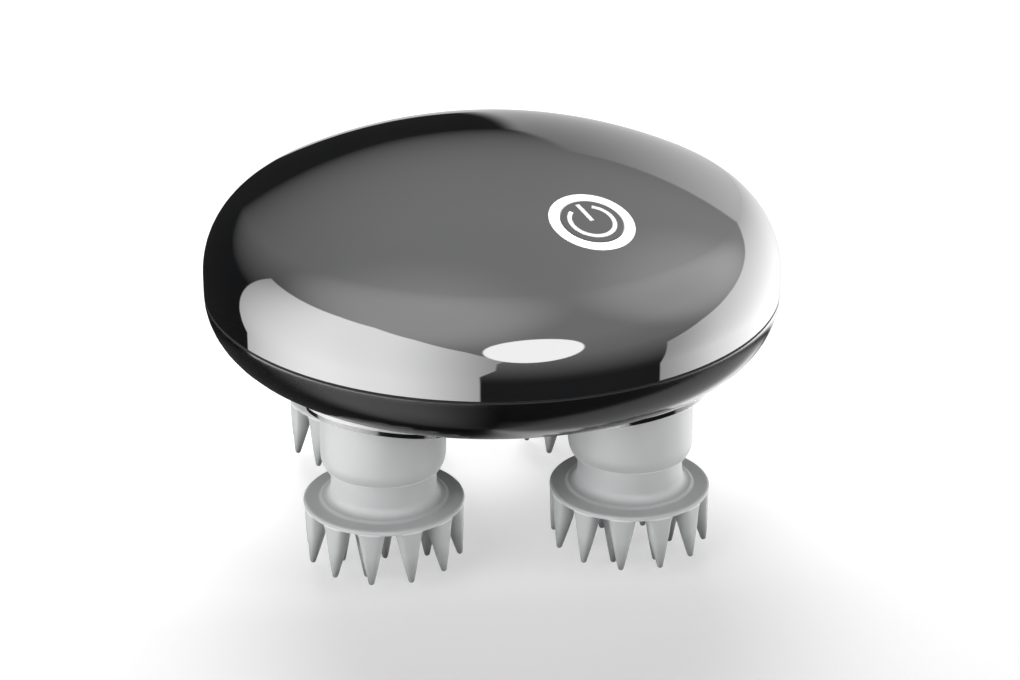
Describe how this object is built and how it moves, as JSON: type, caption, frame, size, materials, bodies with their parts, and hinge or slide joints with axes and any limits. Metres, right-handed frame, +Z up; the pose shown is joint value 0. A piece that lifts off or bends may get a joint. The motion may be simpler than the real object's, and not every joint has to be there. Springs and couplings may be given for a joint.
{
  "type": "electric scalp massager",
  "caption": "Round battery-powered scalp massager: a glossy dome over rotating silicone heads with soft fingers, with a lit power button on the dome.",
  "frame": {"origin": "on the surface it stands on, below the centre of the round body, at the tips of the inner fingers", "axes": "+Z up along the body's axis, heads on the diagonals of X and Y, power button towards -Y and +X"},
  "size_m": [0.11, 0.11, 0.0747],
  "materials": {
    "gloss_black": "high gloss moulded plastic",
    "satin_black": "soft gloss moulded plastic",
    "trim_grey": "satin moulded plastic",
    "hub_frost": "frosted moulded plastic",
    "silicone_frost": "frosted translucent silicone",
    "diffuser_white": "white translucent light guide",
    "symbol_white": "white inlay",
    "black_rubber": "moulded rubber",
    "foam_grey": "closed-cell foam",
    "gear_acetal": "natural acetal",
    "plate_plastic": "glass-filled plastic",
    "switch_plastic": "moulded plastic",
    "bright_steel": "ground steel",
    "screw_steel": "zinc-plated steel",
    "motor_steel": "plated deep-drawn steel",
    "magnet_ferrite": "sintered ferrite",
    "copper_core": "laminated core with enamelled copper",
    "bronze": "sintered bronze",
    "contact_gold": "gold-plated brass",
    "board_green": "solder-masked circuit board",
    "component_black": "moulded components",
    "led_yellow": "LED packages",
    "battery_foil": "pouch foil",
    "wire_red": "insulated wire",
    "wire_blue": "insulated wire",
    "wire_grey": "insulated wire"
  },
  "bodies": {
    "housing": {"top_cover": "gloss_black", "lower_shell": "satin_black", "seal_ring": "black_rubber", "trim_rings": "trim_grey", "light_ring": "diffuser_white", "tact_switch": "switch_plastic", "button_board": "board_green", "button_board_screws": "screw_steel", "ring_leds": "led_yellow", "main_board": "board_green", "board_components": "component_black", "main_board_screws": "screw_steel", "battery": "battery_foil", "battery_pad": "foam_grey", "gearbox_plate": "plate_plastic", "plate_screws": "screw_steel", "motor_can": "motor_steel", "motor_magnets": "magnet_ferrite", "motor_endcap": "switch_plastic", "motor_bearing": "bronze", "motor_screws": "screw_steel", "motor_pad": "foam_grey", "sun_pin": "bright_steel", "idler_pin": "bright_steel", "spindle_bushes": "bronze", "shaft_seals": "black_rubber", "charge_contacts": "contact_gold", "charge_leads": "wire_red", "battery_leads": "wire_red", "motor_leads": "wire_blue", "button_leads": "wire_grey", "housing_screws": "screw_steel", "screw_plugs": "black_rubber"},
    "power_key": {"power_button": "gloss_black", "power_symbol": "symbol_white", "switch_plunger": "switch_plastic"},
    "motor_rotor": {"motor_armature": "copper_core", "motor_shaft": "bright_steel", "motor_pinion": "bronze"},
    "reduction_wheel": {"reduction_gear": "gear_acetal"},
    "sun_wheel": {"sun_gear": "gear_acetal"},
    "head_front_left": {"massage_head_front_left": "silicone_frost", "drive_hub_front_left": "hub_frost", "spindle_front_left": "bright_steel", "head_gear_front_left": "gear_acetal"},
    "head_front_right": {"massage_head_front_right": "silicone_frost", "drive_hub_front_right": "hub_frost", "spindle_front_right": "bright_steel", "head_gear_front_right": "gear_acetal"},
    "head_back_left": {"massage_head_back_left": "silicone_frost", "drive_hub_back_left": "hub_frost", "spindle_back_left": "bright_steel", "head_gear_back_left": "gear_acetal"},
    "head_back_right": {"massage_head_back_right": "silicone_frost", "drive_hub_back_right": "hub_frost", "spindle_back_right": "bright_steel", "head_gear_back_right": "gear_acetal"}
  },
  "joints": [
    {"name": "power_press", "type": "slide", "parent": "housing", "child": "power_key", "axis": [-0.1451, 0.2897, -0.946], "range_m": [0, 0.0004], "stiffness_N_per_m": 1500},
    {"name": "front_left_head_spin", "type": "hinge", "parent": "housing", "child": "head_front_left", "pos_m": [-0.02333, -0.02333, 0.02], "axis": [0, 0, 1], "continuous": true},
    {"name": "front_right_head_spin", "type": "hinge", "parent": "housing", "child": "head_front_right", "pos_m": [0.02333, -0.02333, 0.02], "axis": [0, 0, 1], "continuous": true},
    {"name": "back_left_head_spin", "type": "hinge", "parent": "housing", "child": "head_back_left", "pos_m": [-0.02333, 0.02333, 0.02], "axis": [0, 0, 1], "continuous": true},
    {"name": "back_right_head_spin", "type": "hinge", "parent": "housing", "child": "head_back_right", "pos_m": [0.02333, 0.02333, 0.02], "axis": [0, 0, 1], "continuous": true},
    {"name": "sun_spin", "type": "hinge", "parent": "housing", "child": "sun_wheel", "pos_m": [0, 0, 0.045], "axis": [0, 0, 1], "continuous": true},
    {"name": "reduction_spin", "type": "hinge", "parent": "housing", "child": "reduction_wheel", "pos_m": [0.021, 0, 0.05], "axis": [0, 0, 1], "continuous": true},
    {"name": "motor_spin", "type": "hinge", "parent": "housing", "child": "motor_rotor", "pos_m": [0, 0, 0.06], "axis": [0, 0, 1], "continuous": true}
  ],
  "couplings": [
    {"joint": "front_left_head_spin", "follows": "reduction_spin", "ratio": 0.24828},
    {"joint": "front_right_head_spin", "follows": "reduction_spin", "ratio": 0.24828},
    {"joint": "back_left_head_spin", "follows": "reduction_spin", "ratio": 0.24828},
    {"joint": "back_right_head_spin", "follows": "reduction_spin", "ratio": 0.24828},
    {"joint": "sun_spin", "follows": "reduction_spin", "ratio": -0.2069},
    {"joint": "motor_spin", "follows": "reduction_spin", "ratio": -6}
  ]
}
